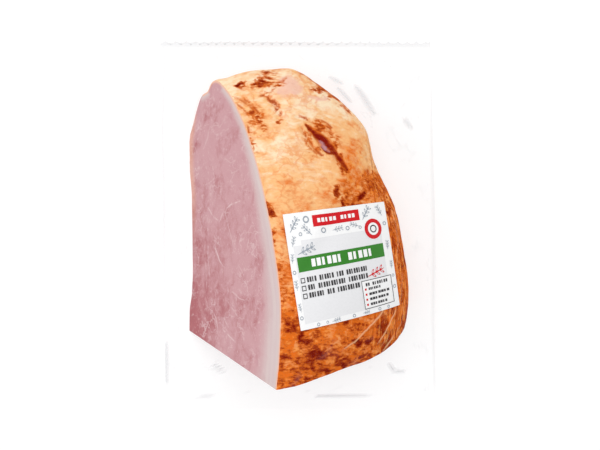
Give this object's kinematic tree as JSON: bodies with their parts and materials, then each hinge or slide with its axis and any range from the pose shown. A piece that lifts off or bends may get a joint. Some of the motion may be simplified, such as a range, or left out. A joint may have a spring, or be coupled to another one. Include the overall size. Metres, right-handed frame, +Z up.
{
  "type": "vacuum-packed ham",
  "caption": "Boneless smoked ham piece, a quarter of a rounded form with two flat cuts, in a clear vacuum pouch with a flat margin and a square paper label.",
  "frame": {"origin": "on the surface that the pack lies on, under the middle of the pouch's outline", "axes": "+Z up through the ham, +Y along the pouch's long side towards its zigzag edge, +X towards the rounded side of the ham"},
  "size_m": [0.1736, 0.2276, 0.09],
  "materials": {
    "ham_in_pouch": "smoked ham seen through clear, tight vacuum film",
    "label": "white coated paper, semi-gloss"
  },
  "bodies": {
    "root": {"ham_in_pouch": "ham_in_pouch", "label": "label"}
  },
  "joints": []
}
